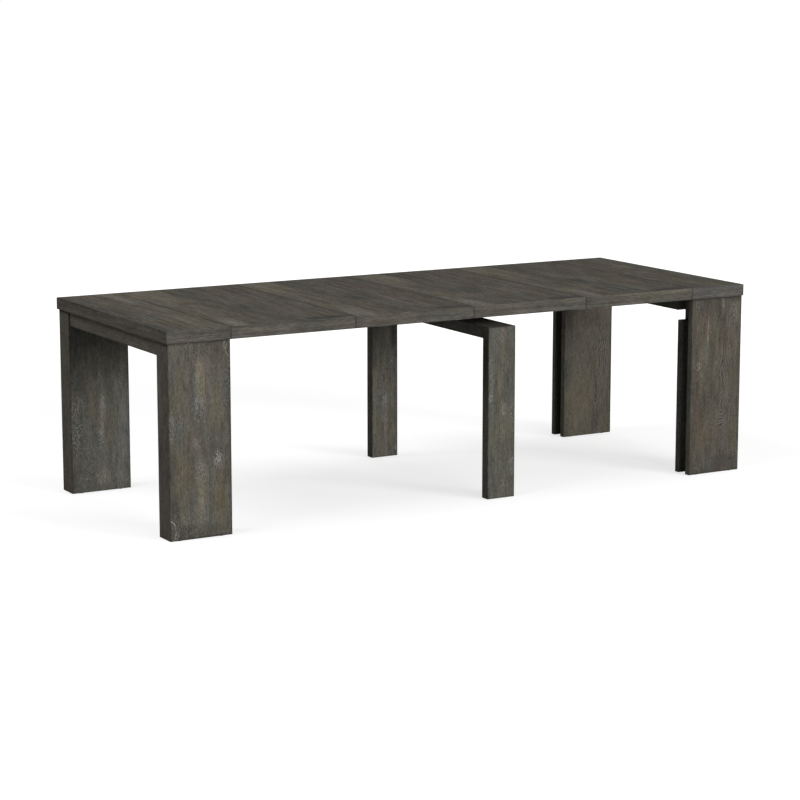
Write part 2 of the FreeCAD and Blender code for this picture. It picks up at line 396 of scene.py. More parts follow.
def growth_rings(graph, across, along, share, drop, figure):
    """Ring lines arched about one point of a face, from across and along in metres from that point."""
    ring_width, ring_length, lean = figure[5:]
    wobble = graph.ripple(graph.join(across, along, 0.0), (16.0, 22.0, 1.0), ring_wobble, 3.0)
    wide = graph.math("DIVIDE", across, ring_width)
    arch = graph.math("SQRT", graph.scaled(wide, wide, 1.0))
    arch = graph.scaled(wide, lean, arch)
    arch = graph.math("ADD", arch, graph.math("DIVIDE", along, ring_length))
    wave = graph.math("SINE", graph.math("MULTIPLY", graph.math("ADD", arch, wobble), 2.0 * math.pi))
    away = reach(graph, share, drop, figure)
    return graph.math("MULTIPLY", wave, graph.step(away, 0.5, 1.1, figure[4], 0.0))


def edge_distance(graph, x, y, z, low, high):
    """How far a point of a box's face is from the nearest edge of the box."""
    gaps = []
    for axis, value in enumerate((x, y, z)):
        before = graph.math("SUBTRACT", value, low[axis])
        after = graph.math("SUBTRACT", high[axis], value)
        gaps.append(graph.math("MINIMUM", before, after))
    smaller = graph.math("MINIMUM", gaps[0], gaps[1])
    larger = graph.math("MAXIMUM", gaps[0], gaps[1])
    return graph.math("MAXIMUM", smaller, graph.math("MINIMUM", larger, gaps[2]))


def oak_shader(graph, place, base, grain, lime, rings, edge):
    """Ends an oak material from its grain place, stain, grain strength and masks."""
    finish = graph.add("ShaderNodeGroup", node_tree=oak_group)
    values = {"Place": place, "Base": base, "Grain": grain, "Lime": lime, "Rings": rings, "Edge": edge}
    for name, value in values.items():
        graph.put(finish.inputs[name], value)
    inputs = {"Base Color": finish.outputs["Color"], "Roughness": finish.outputs["Roughness"]}
    inputs["Specular IOR Level"] = 0.0
    surface(graph, inputs, finish.outputs["Height"], oak_bump_distance, oak_bump_strength)


def stain_columns(graph, share, wander, look):
    """The look's stain across a face, moved sideways a little by wander."""
    stops = [(across, stain(tone, warmth, 0.0, look.cast)) for across, tone, warmth in look.columns]
    return graph.ramp(graph.math("ADD", share, wander), stops)


def oak_board(node, grain, seed, look, meets_top=False):
    """One oak board, with its grain along an axis and its look on its two wide faces."""
    low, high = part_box(node)
    material, graph = new_material("oak_" + node)
    coordinates = graph.add("ShaderNodeTexCoord").outputs
    x, y, z = graph.split(coordinates["Object"])[:3]
    values = {"X": x, "Y": y, "Z": z}
    others = [axis for axis in "XYZ" if axis != grain]
    others.sort(key=lambda axis: high["XYZ".index(axis)] - low["XYZ".index(axis)])
    thin, wide = others
    wide_low, wide_high = (corner["XYZ".index(wide)] for corner in (low, high))
    long_low, long_high = (corner["XYZ".index(grain)] for corner in (low, high))
    share = graph.math("DIVIDE", graph.math("SUBTRACT", values[wide], wide_low), wide_high - wide_low)
    drop = graph.math("DIVIDE", graph.math("SUBTRACT", long_high, values[grain]), long_high - long_low)

    shift = [part * seed for part in board_shift]
    place = graph.vector("ADD", graph.join(values[wide], values[grain], values[thin]), shift)
    base = stain_columns(graph, share, graph.ripple(place, (5.0, 5.0, 5.0), board_wander), look)
    fade = graph.step(graph.noise(place, (6.0, 5.0, 6.0), 1.0), 0.40, 0.62)
    mean_tone = sum(column[1] for column in look.columns) / len(look.columns)
    mean_warmth = sum(column[2] for column in look.columns) / len(look.columns)
    mean_stain = stain(mean_tone, mean_warmth, 0.0, look.cast)
    base = graph.blend(graph.math("MULTIPLY", fade, column_fade), base, mean_stain)
    base = paint_patches(graph, base, share, drop, place, look.patches, look.cast)
    normal = graph.split(coordinates["Normal"])["XYZ".index(thin)]
    on_face = graph.math("GREATER_THAN", graph.math("ABSOLUTE", normal), 0.5)
    narrow = stain(*look.edge, cast=look.cast)
    narrow = paint_patches(graph, narrow, share, drop, place, look.rim, look.cast)
    base = graph.blend(on_face, narrow, base)
    # Painted shade under the top, darkening the upper end of a leg board
    if meets_top:
        depth = graph.math("SUBTRACT", long_high, values[grain])
        base = graph.blend(graph.step(depth, joint_near, joint_far, joint_shade, 0.0), base, pore_colour)
    rings = 0.0
    for figure in look.rings:
        across = graph.math("SUBTRACT", values[wide], wide_low + figure[0] * (wide_high - wide_low))
        along = graph.math("SUBTRACT", values[grain], long_high - figure[1] * (long_high - long_low))
        rings = graph.math("ADD", growth_rings(graph, across, along, share, drop, figure), rings)
    spots = spread(graph, share, drop, look.lime)
    lime = graph.math("MAXIMUM", spots, curl(graph, share, drop, look.curls))
    if look.haze:
        haze = graph.step(graph.noise(place, (9.0, 4.0, 9.0), 2.0, 0.6), 0.42, 0.66, 0.0, look.haze)
        lime = graph.math("MAXIMUM", lime, haze)
    lime = graph.math("MULTIPLY", lime, on_face)
    oak_shader(graph, place, base, look.grain, lime, rings, edge_distance(graph, x, y, z, low, high))
    dress([node], material)


def oak_slab(node, seed, look):
    """A piece of the top: grain across the table, and along X on the front and back edges."""
    low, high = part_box(node)
    material, graph = new_material("oak_" + node)
    coordinates = graph.add("ShaderNodeTexCoord").outputs
    x, y, z = graph.split(coordinates["Object"])[:3]
    normal_x, normal_y = graph.split(coordinates["Normal"])[:2]
    on_edge = graph.math("GREATER_THAN", graph.math("ABSOLUTE", normal_y), 0.5)
    on_end = graph.math("GREATER_THAN", graph.math("ABSOLUTE", normal_x), 0.5)
    choice = graph.add("ShaderNodeMix", {0: on_edge}, data_type="VECTOR")
    graph.put(choice.inputs[4], graph.join(x, y, z))
    graph.put(choice.inputs[5], graph.join(z, graph.math("MULTIPLY", x, edge_grain_scale), y))
    place = graph.vector("ADD", choice.outputs[1], [part * seed for part in slab_shift])
    share = graph.math("DIVIDE", graph.math("SUBTRACT", x, low.x), high.x - low.x)
    drop = graph.math("DIVIDE", graph.math("SUBTRACT", high.y, y), high.y - low.y)
    base = stain_columns(graph, share, graph.ripple(place, (6.0, 2.5, 6.0), slab_wander), look)
    base = paint_patches(graph, base, share, drop, place, look.patches, look.cast)
    edge_drop = graph.math("DIVIDE", graph.math("SUBTRACT", high.z, z), high.z - low.z)
    narrow = stain(*look.edge, cast=look.cast)
    narrow = paint_patches(graph, narrow, share, edge_drop, place, look.rim, look.cast)
    base = graph.blend(on_edge, base, narrow)
    base = graph.blend(on_end, base, stain(*end_stain, cast=look.cast))
    streaks = graph.ripple(place, (75.0, 3.5, 75.0), slab_streaks, 3.0, 0.6)
    base = graph.shade(base, graph.math("ADD", streaks, 1.0))
    # Painted shade in the seams between the top's pieces, on the front and back edges
    seam = graph.math("MINIMUM", graph.math("SUBTRACT", x, low.x), graph.math("SUBTRACT", high.x, x))
    seam_shadow = graph.math("MULTIPLY", graph.step(seam, seam_near, seam_far, seam_shade, 0.0), on_edge)
    base = graph.blend(seam_shadow, base, pore_colour)
    arris = graph.math("MINIMUM", seam, graph.math("SUBTRACT", z, low.z))
    edge = graph.add("ShaderNodeMix", {0: on_edge, 3: arris}, data_type="FLOAT")
    graph.put(edge.inputs[2], edge_distance(graph, x, y, z, low, high))
    oak_shader(graph, place, base, look.grain, 0.0, 0.0, edge.outputs[0])
    dress([node], material)


def bearer_wood():
    """Plain hardwood of the bearers, with the grain along X."""
    material, graph = new_material("bearer_wood")
    place = graph.add("ShaderNodeTexCoord").outputs["Object"]
    streaks = graph.noise(place, (4.0, 90.0, 90.0), 4.0, 0.6)
    fibres = graph.noise(place, (14.0, 900.0, 900.0), 2.0)
    colour = graph.shade(graph.vary(streaks, bearer_colours), graph.scaled(fibres, 0.4, 0.8))
    rough = graph.scaled(streaks, 0.2, 0.5)
    surface(graph, {"Base Color": colour, "Roughness": rough}, fibres, 0.0003, 0.4)
    return material


def slide_aluminium():
    """Anodised extrusion, with fine die lines along X and a few rubbed marks."""
    material, graph = new_material("slide_aluminium")
    place = graph.add("ShaderNodeTexCoord").outputs["Object"]
    lines = graph.noise(place, (6.0, 1500.0, 1500.0), 2.0)
    marks = graph.noise(place, (40.0, 160.0, 160.0), 3.0, 0.6)
    inputs = {"Base Color": graph.vary(lines, aluminium_colours), "Metallic": 1.0}
    inputs["Roughness"] = graph.scaled(marks, 0.25, 0.35)
    surface(graph, inputs, lines, 0.0001, 0.3)
    return material


def zinc_steel(name, dull):
    """Zinc-plated steel with its faint crystal mottling."""
    material, graph = new_material(name)
    place = graph.add("ShaderNodeTexCoord").outputs["Object"]
    mottle = graph.noise(place, (220.0, 220.0, 220.0), 4.0, 0.7)
    inputs = {"Base Color": graph.vary(mottle, zinc_colours), "Metallic": 1.0}
    inputs["Roughness"] = graph.scaled(mottle, 0.3, dull)
    surface(graph, inputs, mottle, 0.0001, 0.3)
    return material


def glide_nylon():
    """Moulded black nylon, scuffed by the floor."""
    material, graph = new_material("glide_nylon")
    place = graph.add("ShaderNodeTexCoord").outputs["Object"]
    grain = graph.noise(place, (900.0, 900.0, 900.0), 2.0)
    scuffs = graph.step(graph.noise(place, (150.0, 500.0, 150.0), 3.0), 0.55, 0.75)
    colour = graph.blend(scuffs, nylon_colour, nylon_scuff)
    surface(graph, {"Base Color": colour, "Roughness": graph.scaled(grain, 0.25, 0.4)}, grain, 0.0001, 0.3)
    return material


def dowel_beech():
    """Pale unfinished beech, with the grain along Y and short dark rays."""
    material, graph = new_material("dowel_beech")
    place = graph.add("ShaderNodeTexCoord").outputs["Object"]
    grain = graph.noise(place, (500.0, 20.0, 500.0), 3.0)
    rays = graph.step(graph.noise(place, (900.0, 300.0, 900.0), 1.0), 0.62, 0.7)
    colour = graph.vary(grain, beech_colours)
    colour = graph.blend(graph.math("MULTIPLY", rays, 0.5), colour, beech_ray)
    surface(graph, {"Base Color": colour, "Roughness": 0.6}, grain, 0.0002, 0.3)
    return material


# The faces that the photograph shows
left_front_look = Look(
    columns=((0.00, 0.72, -0.4), (0.07, 0.96, 0.2), (0.25, 1.00, 0.5), (0.37, 0.95, -0.2),
             (0.50, 1.06, 0.2), (0.64, 0.95, -0.2), (0.75, 0.99, 0.5), (0.90, 0.86, 0.2),
             (1.00, 0.68, 0.0)),
    patches=((0.20, 0.15, 0.15, 0.11, 1.01, 0.6, 0.0), (0.10, 0.27, 0.12, 0.08, 0.96, 1.0, 0.2),
             (0.375, 0.22, 0.028, 0.16, 0.80, -0.6, -0.4), (0.50, 0.17, 0.075, 0.11, 1.26, 1.2, 0.5),
             (0.76, 0.37, 0.12, 0.13, 1.00, 1.2, 0.3), (0.22, 0.43, 0.20, 0.05, 0.95, -0.4, -0.9),
             (0.30, 0.50, 0.22, 0.06, 0.92, -0.1, 1.3), (0.72, 0.50, 0.15, 0.08, 0.90, 0.0, 0.5),
             (0.20, 0.68, 0.16, 0.12, 0.94, 1.2, 0.2), (0.48, 0.82, 0.065, 0.12, 1.32, 1.3, 0.6),
             (0.655, 0.76, 0.028, 0.13, 0.78, -0.8, -0.3), (0.35, 0.86, 0.025, 0.10, 0.84, -0.5, -0.4),
             (0.80, 0.84, 0.13, 0.12, 0.97, 1.4, 0.3), (0.66, 0.05, 0.34, 0.06, 0.75, -0.1, 0.4),
             (0.50, 0.97, 0.60, 0.050, 0.73, 0.6, 0.1), (0.06, 0.90, 0.10, 0.14, 0.68, -0.7, -0.2),
             (0.04, 0.13, 0.09, 0.12, 0.96, -0.3, -0.2), (0.05, 0.62, 0.08, 0.14, 0.69, -0.3, -0.3),
             (0.34, 0.25, 0.07, 0.06, 0.79, -0.3, -0.3), (0.96, 0.34, 0.06, 0.10, 0.64, 0.2, 0.2),
             (0.15, 0.97, 0.25, 0.05, 0.60, 0.3, 0.0), (0.48, 0.32, 0.07, 0.035, 1.25, 0.0, 0.2),
             # The patch at place across 1.00 paints shade down the right edge, and the wide band at place
             # down 1.00 paints shade along the foot
             (0.78, 0.69, 0.10, 0.05, 0.82, 0.6, 0.2), (1.00, 0.50, 0.05, 0.70, 0.62, 0.0, 0.1),
             (0.50, 1.00, 1.50, 0.013, 0.43, 0.0, 0.1), (0.93, 0.75, 0.05, 0.05, 0.98, 0.0, 0.1)),
    lime=((0.03, 0.42, 0.09, 0.11, 0.68), (0.22, 0.42, 0.14, 0.05, 0.35), (0.50, 0.33, 0.15, 0.10, 0.65),
          (0.42, 0.51, 0.09, 0.05, 0.45), (0.79, 0.60, 0.11, 0.055, 1.1), (0.50, 0.66, 0.15, 0.08, 0.6),
          (0.90, 0.03, 0.04, 0.03, 0.8), (0.12, 0.98, 0.05, 0.02, 0.8), (0.50, 0.16, 0.10, 0.12, 0.45),
          (0.48, 0.85, 0.08, 0.10, 0.4), (0.95, 0.20, 0.05, 0.14, 0.35), (0.72, 0.72, 0.08, 0.10, 0.35)),
    haze=0.3,
    curls=((1.02, 0.050, 0.096, 0.042, 1.7), (1.02, 0.120, 0.07, 0.020, 1.35),
           (0.00, 0.950, 0.09, 0.055, 1.8)),
    cast=(0.985, 0.995),
    grain=1.08)
left_back_look = Look(
    # Its darker left side is partly stain and partly painted shade, and the wide patch at place down 0.15
    # paints shade under the top
    columns=((0.00, 0.62, -0.4), (0.12, 0.76, -0.3), (0.38, 0.92, 0.2), (0.50, 1.10, 0.3),
             (0.65, 1.05, 0.0), (0.85, 1.12, -0.3), (1.00, 0.80, -0.3)),
    patches=((0.37, 0.53, 0.10, 0.07, 0.92, 0.5, 0.9), (0.86, 0.52, 0.15, 0.13, 1.22, -0.1, -0.9),
             (0.86, 0.76, 0.13, 0.10, 1.14, -0.6, -0.2), (0.10, 0.64, 0.13, 0.18, 0.72, -0.4, -0.2),
             (0.53, 0.58, 0.06, 0.16, 1.22, 0.6, 0.4), (0.60, 0.92, 0.20, 0.06, 1.22, 0.5, 0.5),
             (0.30, 0.66, 0.12, 0.08, 0.98, 0.0, -1.3), (0.68, 0.70, 0.08, 0.14, 1.02, 0.4, 0.3),
             (0.50, 0.15, 0.55, 0.14, 0.92, -0.2, -0.5), (0.20, 0.93, 0.20, 0.05, 0.95, 0.2, -0.9),
             (0.12, 0.42, 0.20, 0.08, 0.68, -0.3, -0.3), (0.88, 0.44, 0.15, 0.07, 1.26, -0.1, -0.6),
             (0.78, 0.42, 0.09, 0.10, 1.38, -0.6, -0.6), (0.22, 0.47, 0.09, 0.05, 0.62, -0.3, -0.3),
             (0.42, 0.32, 0.10, 0.07, 0.72, -0.2, -0.3), (0.06, 0.84, 0.10, 0.06, 0.92, -0.3, 0.0)),
    lime=((0.09, 0.66, 0.13, 0.17, 0.75), (0.54, 0.53, 0.06, 0.09, 0.85), (0.51, 0.68, 0.06, 0.10, 0.9),
          (0.50, 0.92, 0.14, 0.06, 0.7), (0.86, 0.93, 0.12, 0.06, 0.4), (0.50, 0.35, 0.05, 0.07, 0.5),
          (0.86, 0.36, 0.08, 0.10, 0.5), (0.25, 0.80, 0.15, 0.10, 0.45), (0.22, 0.92, 0.14, 0.05, 0.4)),
    haze=0.35,
    cast=(0.965, 1.01),
    grain=1.15)
middle_front_look = Look(
    columns=((0.00, 0.84, -0.3), (0.20, 0.90, -0.2), (0.45, 0.93, 0.4), (0.60, 0.88, 0.3),
             (0.82, 0.87, -0.3), (1.00, 0.74, -0.2)),
    patches=((0.50, 0.12, 0.16, 0.09, 0.93, 0.7, 0.4), (0.50, 0.52, 0.17, 0.20, 0.92, 0.4, 0.6),
             (0.55, 0.48, 0.08, 0.05, 1.09, 0.5, 0.2), (0.88, 0.48, 0.14, 0.20, 0.90, -0.1, -1.4),
             (0.92, 0.72, 0.10, 0.12, 0.86, 0.0, -1.2), (0.10, 0.36, 0.15, 0.16, 0.88, -0.4, -1.0),
             (0.15, 0.88, 0.20, 0.10, 0.90, -0.6, -0.2), (0.50, 0.84, 0.13, 0.08, 0.97, 0.7, 0.3),
             (0.12, 0.66, 0.12, 0.10, 0.92, 0.0, -1.0), (0.88, 0.20, 0.16, 0.09, 0.76, -0.1, -1.2),
             (0.15, 0.76, 0.14, 0.05, 0.82, -0.2, -0.6), (0.34, 0.68, 0.11, 0.08, 0.78, 0.3, 0.1),
             (0.20, 0.97, 0.11, 0.04, 1.02, -0.4, 0.0)),
    lime=((0.12, 0.34, 0.10, 0.12, 0.6), (0.10, 0.40, 0.12, 0.04, 0.8), (0.55, 0.49, 0.14, 0.07, 0.5),
          (0.85, 0.50, 0.10, 0.12, 0.35), (0.90, 0.80, 0.12, 0.10, 0.4), (0.50, 0.06, 0.20, 0.05, 0.35),
          (0.12, 0.20, 0.12, 0.06, 0.55), (0.50, 0.62, 0.14, 0.08, 0.35),
          (0.45, 0.03, 0.20, 0.03, 0.45), (0.55, 0.93, 0.14, 0.05, 0.45)),
    haze=0.15,
    rings=((0.58, 0.06, 0.18, 0.05, 0.35, 0.008, -0.012, 0.45),),
    cast=(0.965, 0.985),
    edge=(1.03, 0.1, 0.7),
    # The rim patches paint shade high on the left narrow face, under the top, and painted light low down on
    # it
    rim=((0.0, 0.20, 0.50, 0.24, 0.56, 1.0, 2.0), (0.0, 0.92, 0.50, 0.18, 1.16, -0.3, -0.3)))
middle_back_look = Look(
    columns=((0.00, 0.98, -0.7), (0.25, 1.02, 0.1), (0.42, 1.00, -0.3), (0.55, 1.10, 0.2),
             (0.75, 0.93, 0.0), (1.00, 0.76, -0.2)),
    patches=((0.22, 0.80, 0.16, 0.13, 1.06, 0.9, 0.3), (0.22, 0.50, 0.14, 0.10, 1.02, 0.1, 0.4),
             (0.48, 0.635, 0.13, 0.06, 1.22, -0.5, -0.3), (0.52, 0.80, 0.06, 0.09, 1.32, 0.7, 0.3),
             (0.80, 0.55, 0.12, 0.09, 0.94, 0.4, 1.0), (0.76, 0.73, 0.10, 0.10, 0.97, 0.9, 0.3),
             (0.42, 0.86, 0.05, 0.10, 0.98, -0.1, -0.2), (0.90, 0.26, 0.18, 0.14, 0.58, 0.0, 0.0),
             (0.88, 0.46, 0.14, 0.08, 0.82, -0.1, 0.4), (0.05, 0.38, 0.12, 0.08, 0.70, -0.5, -0.2),
             (0.04, 0.63, 0.09, 0.06, 1.25, -0.8, -0.2), (0.78, 0.65, 0.10, 0.05, 1.00, 1.0, 0.9),
             (0.86, 0.83, 0.14, 0.06, 1.05, 0.9, 0.1), (0.04, 0.97, 0.09, 0.04, 1.20, -0.8, -0.2)),
    lime=((0.48, 0.635, 0.14, 0.06, 0.6), (0.78, 0.38, 0.10, 0.06, 0.45), (0.90, 0.96, 0.08, 0.03, 0.7),
          (0.45, 0.40, 0.10, 0.08, 0.3)),
    haze=0.1,
    cast=(0.98, 1.00),
    edge=(0.91, -0.4, -0.3),
    grain=1.1)
right_front_look = Look(
    columns=((0.00, 0.52, 0.0), (0.10, 0.67, 0.2), (0.25, 0.80, 0.2), (0.42, 0.68, 0.2), (0.53, 0.84, 0.4),
             (0.66, 0.68, 0.0), (0.75, 0.80, 0.2), (0.92, 0.82, 0.0), (1.00, 0.64, 0.0)),
    patches=((0.25, 0.04, 0.32, 0.06, 0.60, -0.5, 0.1), (0.80, 0.05, 0.20, 0.06, 0.76, 0.0, 0.3),
             (0.20, 0.17, 0.18, 0.09, 0.80, 0.3, 1.2), (0.335, 0.26, 0.010, 0.15, 1.20, 0.6, 0.4),
             (0.09, 0.40, 0.09, 0.12, 0.74, 0.3, 1.0), (0.51, 0.36, 0.05, 0.12, 1.00, 0.9, -0.4),
             (0.60, 0.36, 0.02, 0.10, 0.92, 0.6, -0.2), (0.67, 0.25, 0.035, 0.14, 0.54, -0.3, 0.5),
             (0.85, 0.28, 0.08, 0.14, 0.80, 0.5, 0.2), (0.13, 0.65, 0.15, 0.12, 0.64, 0.7, 1.2),
             (0.42, 0.57, 0.18, 0.07, 0.62, -0.2, 0.8), (0.45, 0.72, 0.10, 0.12, 0.78, 0.8, -0.3),
             (0.22, 0.84, 0.16, 0.09, 0.70, 0.7, 0.4), (0.65, 0.95, 0.45, 0.06, 0.60, -0.5, 0.2),
             (0.24, 0.985, 0.10, 0.035, 0.46, -0.2, 0.2), (0.88, 0.64, 0.10, 0.14, 0.82, 0.2, 0.3),
             (0.27, 0.32, 0.12, 0.06, 0.94, 0.2, 0.4), (0.05, 0.19, 0.07, 0.07, 0.60, 0.2, 0.8),
             # The wide bands at place down 1.00 and 0.01 paint shade along the foot and under the top
             (0.05, 0.82, 0.07, 0.07, 0.58, 0.4, 0.6), (0.50, 1.00, 1.50, 0.025, 0.56, 0.0, 0.2),
             (0.50, 0.01, 1.50, 0.024, 0.57, 0.0, 0.2), (0.65, 0.35, 0.06, 0.06, 0.58, 0.0, 0.3),
             (0.50, 0.06, 0.11, 0.05, 0.62, 0.3, -0.2), (0.66, 0.84, 0.22, 0.07, 0.66, 0.2, 0.3)),
    lime=((0.16, 0.385, 0.07, 0.035, 1.0), (0.63, 0.035, 0.04, 0.04, 0.8), (0.12, 0.05, 0.12, 0.05, 0.3),
          (0.85, 0.08, 0.08, 0.05, 0.3), (0.20, 0.97, 0.08, 0.03, 0.4), (0.33, 0.24, 0.03, 0.12, 0.35),
          (0.20, 0.43, 0.10, 0.05, 0.3)),
    rings=((0.69, 0.40, 0.13, 0.15, 0.46, 0.018, -0.070, 2.0),
           (0.68, 0.57, 0.12, 0.08, 0.46, 0.018, -0.024, 2.0),
           (0.67, 0.70, 0.10, 0.08, 0.62, 0.010, -0.015, 0.9),
           (0.69, 0.82, 0.11, 0.07, 0.55, 0.020, -0.012, 2.5),
           (0.87, 0.09, 0.12, 0.08, 0.28, 0.008, 0.030, 0.45)),
    cast=(1.010, 0.985),
    edge=(1.18, -0.3, -1.8),
    # The rim patch paints the left narrow face paler high up: painted light that offsets the shade under
    # the top
    rim=((0.0, 0.15, 0.50, 0.22, 1.40, -0.3, -1.8),),
    grain=1.25)
right_back_look = Look(
    columns=((0.00, 0.84, 0.0), (0.12, 0.93, 0.3), (0.35, 0.97, 0.5), (0.55, 0.97, 0.5), (0.66, 0.88, 0.1),
             (0.74, 0.98, 0.3), (0.90, 0.95, 0.1), (1.00, 0.80, 0.0)),
    # The wide patches at place down 0.34 and 0.30 paint shade under the top, and the patch at place across
    # 1.00 paints shade down the right edge
    patches=((0.30, 0.74, 0.34, 0.22, 1.00, 0.9, -0.1), (0.45, 0.34, 0.50, 0.10, 0.86, -0.3, 0.2),
             (0.82, 0.55, 0.16, 0.11, 0.94, -0.3, 0.2), (0.42, 0.79, 0.14, 0.05, 1.00, 0.5, 1.2),
             (0.68, 0.73, 0.03, 0.09, 0.68, -0.6, 0.3), (0.68, 0.92, 0.07, 0.10, 0.70, -0.4, 0.6),
             (0.07, 0.32, 0.12, 0.09, 0.70, -0.4, 0.3), (0.45, 0.545, 0.20, 0.04, 0.86, -0.2, 0.4),
             (0.50, 0.40, 0.16, 0.09, 0.98, 0.6, 0.2), (0.90, 0.86, 0.10, 0.14, 0.92, -0.2, 0.2),
             (0.75, 0.30, 0.20, 0.08, 0.82, -0.2, 0.4), (0.06, 0.43, 0.10, 0.06, 0.74, -0.1, 0.0),
             (0.86, 0.42, 0.15, 0.04, 0.86, 0.0, 0.1), (0.94, 0.70, 0.07, 0.12, 1.06, 0.1, 0.1),
             (1.00, 0.55, 0.04, 0.60, 0.64, 0.0, 0.1), (0.43, 0.27, 0.14, 0.05, 0.72, 0.1, 0.2),
             (0.62, 0.35, 0.07, 0.04, 1.04, -0.1, 0.2), (0.05, 0.60, 0.10, 0.12, 0.75, -0.7, 0.2)),
    rings=((0.70, 0.79, 0.09, 0.13, 0.24, 0.009, -0.040, 0.45),
           (0.82, 0.50, 0.19, 0.21, 0.36, 0.050, -0.050, 4.0)),
    cast=(1.005, 0.985),
    edge=(1.25, -0.3, -1.2))
leaf_look = Look(
    columns=((0.00, 0.88, 0.1), (0.05, 1.04, 0.3), (0.25, 0.92, 0.2), (0.36, 0.82, 0.0), (0.50, 0.86, -0.2),
             (0.62, 0.89, 0.0), (0.90, 0.89, 0.1), (1.00, 0.80, 0.1)),
    patches=((0.17, 0.15, 0.17, 0.30, 1.16, 0.7, 0.1), (0.16, 0.52, 0.15, 0.16, 1.00, 0.2, 0.3),
             (0.32, 0.76, 0.10, 0.16, 0.90, 0.2, 0.6), (0.11, 0.93, 0.08, 0.15, 1.34, -0.1, -0.4),
             (0.345, 0.12, 0.020, 0.22, 0.66, 0.0, 0.3), (0.46, 0.15, 0.035, 0.14, 0.76, -0.6, -0.3),
             (0.77, 0.24, 0.20, 0.20, 0.84, 0.0, 1.3), (0.50, 0.38, 0.12, 0.10, 0.92, -0.4, 0.3),
             (0.48, 0.58, 0.09, 0.08, 0.72, -0.5, -0.9), (0.46, 0.85, 0.05, 0.10, 0.74, -0.5, -0.9),
             (0.82, 0.70, 0.15, 0.16, 0.89, 0.2, 0.9), (0.68, 0.68, 0.03, 0.16, 1.02, 0.6, 0.2),
             (0.82, 0.97, 0.20, 0.04, 0.62, -0.6, -0.1)),
    cast=(0.990, 1.02),
    edge=(0.82, 0.0, -0.2),
    rim=((0.18, 0.40, 0.16, 0.80, 0.84, 0.1, 0.5), (0.42, 0.40, 0.10, 0.90, 0.92, 0.1, 0.3),
         (0.57, 0.60, 0.06, 0.60, 0.73, -0.2, -0.1), (0.76, 0.55, 0.17, 0.70, 0.80, 0.0, -0.9),
         (0.86, 0.15, 0.12, 0.28, 0.94, 0.5, 0.2), (0.20, 0.70, 0.16, 0.20, 0.70, -0.1, 0.3),
         (0.03, 0.50, 0.04, 0.90, 0.74, -0.2, -0.2)))
left_end_look = Look(
    columns=((0.00, 0.78, -0.2), (0.25, 0.86, 0.0), (0.50, 0.94, 0.2), (0.80, 1.04, 0.2),
             (1.00, 0.98, 0.2)),
    patches=((0.76, 0.13, 0.12, 0.14, 1.42, -0.2, -0.6), (0.40, 0.12, 0.20, 0.14, 0.98, 0.2, 0.6),
             (0.70, 0.82, 0.24, 0.18, 1.12, 0.8, 0.0), (0.12, 0.40, 0.13, 0.34, 0.84, -0.3, -0.5),
             (0.60, 0.45, 0.25, 0.16, 0.95, 0.2, 0.6), (0.97, 0.35, 0.03, 0.20, 0.85, 0.0, 0.4)),
    cast=(0.990, 1.02),
    edge=(0.83, -0.5, 0.5),
    rim=((0.90, 0.50, 0.12, 0.90, 0.76, -0.4, -0.8),))
right_end_look = Look(
    columns=((0.00, 0.84, 0.1), (0.25, 0.92, 0.2), (0.70, 0.91, 0.0), (1.00, 0.90, -0.4)),
    patches=((0.30, 0.24, 0.32, 0.20, 0.86, 0.2, 1.2), (0.62, 0.30, 0.07, 0.10, 1.08, 0.8, 0.0),
             (0.92, 0.50, 0.12, 0.40, 0.96, -0.3, -0.8), (0.25, 0.92, 0.25, 0.08, 0.82, -0.4, -0.3),
             (0.45, 0.62, 0.25, 0.16, 0.90, 0.2, 0.7)),
    cast=(0.990, 1.02),
    edge=(0.82, -0.5, 0.6),
    # The rim patch at place down 1.00 paints shade along the lower arris of the front and back edges, where
    # they sit on the legs
    rim=((0.50, 0.00, 0.60, 0.14, 0.62, -0.4, 0.3), (0.50, 1.00, 0.60, 0.24, 0.52, -0.4, 0.3)))


def other_look(seed):
    """A look for a face that the photograph doesn't show, in the manner of those that it shows."""
    draw = random.Random(seed)
    columns = [(0.0, 0.88, 0.0)]
    for across in (0.15, 0.35, 0.5, 0.65, 0.85):
        columns.append((across, draw.uniform(0.86, 1.04), draw.uniform(-0.5, 0.6)))
    columns.append((1.0, 0.86, 0.0))
    patches = []
    lime = []
    for down in (0.1, 0.25, 0.4, 0.55, 0.7, 0.85):
        size = (draw.uniform(0.07, 0.16), draw.uniform(0.08, 0.16))
        shade = (draw.uniform(0.84, 1.12), draw.uniform(-1.0, 1.0), draw.uniform(-0.5, 0.9))
        patches.append((draw.uniform(0.1, 0.9), down) + size + shade)
        lime.append((draw.uniform(0.0, 1.0), down, 0.10, 0.07, draw.uniform(0.0, 0.5)))
    rings = ((draw.uniform(0.35, 0.65), draw.uniform(0.3, 0.7), 0.12, 0.22, 0.25, 0.010, 0.030, 0.45),)
    return Look(columns, patches, lime, haze=0.1, rings=rings, edge=(0.95, 0.1, -0.6))


def side_look(seed, tone, warmth=0.0, cast=side_cast):
    """A plainer look, for rails and narrow boards."""
    draw = random.Random(seed)
    columns = [(0.0, tone, warmth)]
    for across in (0.3, 0.5, 0.7):
        columns.append((across, tone * draw.uniform(0.95, 1.07), warmth + draw.uniform(-0.3, 0.3)))
    columns.append((1.0, tone, warmth))
    return Look(columns, cast=cast, edge=(tone, warmth, 0.0))


